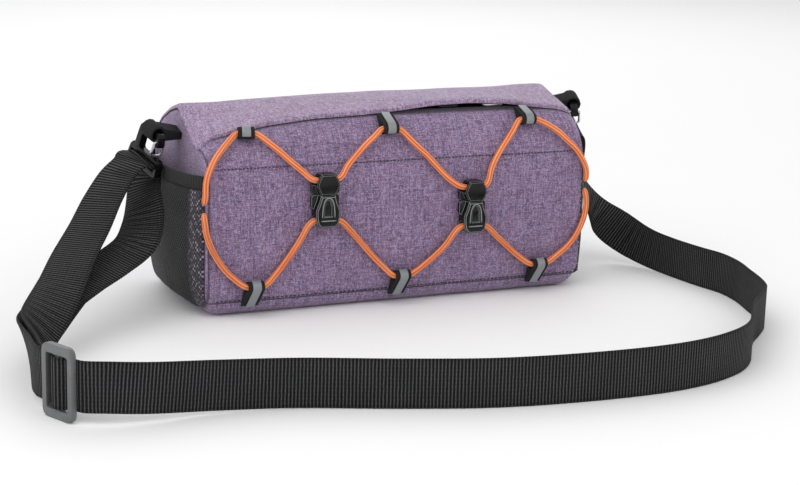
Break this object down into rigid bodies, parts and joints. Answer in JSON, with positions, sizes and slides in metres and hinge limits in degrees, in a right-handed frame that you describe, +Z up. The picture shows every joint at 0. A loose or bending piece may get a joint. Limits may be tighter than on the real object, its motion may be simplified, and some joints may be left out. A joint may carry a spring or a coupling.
{
  "type": "bike handlebar bag",
  "caption": "Padded handlebar bag with mesh end pockets, elastic cord lacing, a zipped top and a webbing shoulder strap lying round it.",
  "frame": {"origin": "middle of the flat bottom of the bag, on the floor", "axes": "+X along the bag to its right end seen from the front, +Y to its back, +Z up"},
  "size_m": [0.4415, 0.3463, 0.1202],
  "materials": {
    "cloth": "padded heather polyester, purple",
    "flap_cloth": "padded heather polyester, lighter purple",
    "webbing": "ribbed woven webbing, near black",
    "mesh": "elastic knitted mesh, dark grey",
    "cord": "braided elastic cord, orange",
    "reflective": "grey reflective tape",
    "plastic": "moulded black plastic",
    "satin_plastic": "satin dark grey plastic",
    "wire": "bright steel wire"
  },
  "bodies": {
    "bag": {"bag_body": "cloth", "top_flap": "flap_cloth", "zip_tape": "webbing", "zip_slider_left": "plastic", "zip_slider_right": "wire", "mesh_pocket_left": "mesh", "pocket_binding_left": "webbing", "end_tab_left": "webbing", "snap_hook_left": "plastic", "handlebar_strap_left": "webbing", "mesh_pocket_right": "mesh", "pocket_binding_right": "webbing", "end_tab_right": "webbing", "snap_hook_right": "plastic", "handlebar_strap_right": "webbing", "cord_loop_top_left": "webbing", "loop_strip_top_left": "reflective", "cord_loop_top_middle": "webbing", "loop_strip_top_middle": "reflective", "cord_loop_top_right": "webbing", "loop_strip_top_right": "reflective", "cord_loop_bottom_left": "webbing", "loop_strip_bottom_left": "reflective", "cord_loop_bottom_middle": "webbing", "loop_strip_bottom_middle": "reflective", "cord_loop_bottom_right": "webbing", "loop_strip_bottom_right": "reflective", "buckle_upper_left": "plastic", "buckle_lower_left": "plastic", "buckle_upper_right": "plastic", "buckle_lower_right": "plastic", "bungee_upper": "cord", "bungee_lower": "cord", "shoulder_strap": "webbing", "strap_slider": "satin_plastic"},
    "gate_left": {"wire_gate_left": "wire"},
    "gate_right": {"wire_gate_right": "wire"}
  },
  "joints": [
    {"name": "gate_left_pivot", "type": "hinge", "parent": "bag", "child": "gate_left", "pos_m": [-0.13544, -0.01349, 0.09594], "axis": [0.9469, 0.2965, -0.1244], "range_deg": [0, 20], "stiffness_Nm_per_rad": 0.05},
    {"name": "gate_right_pivot", "type": "hinge", "parent": "bag", "child": "gate_right", "pos_m": [0.13544, -0.01149, 0.1029], "axis": [0.9469, -0.2965, 0.1244], "range_deg": [0, 20], "stiffness_Nm_per_rad": 0.05}
  ]
}
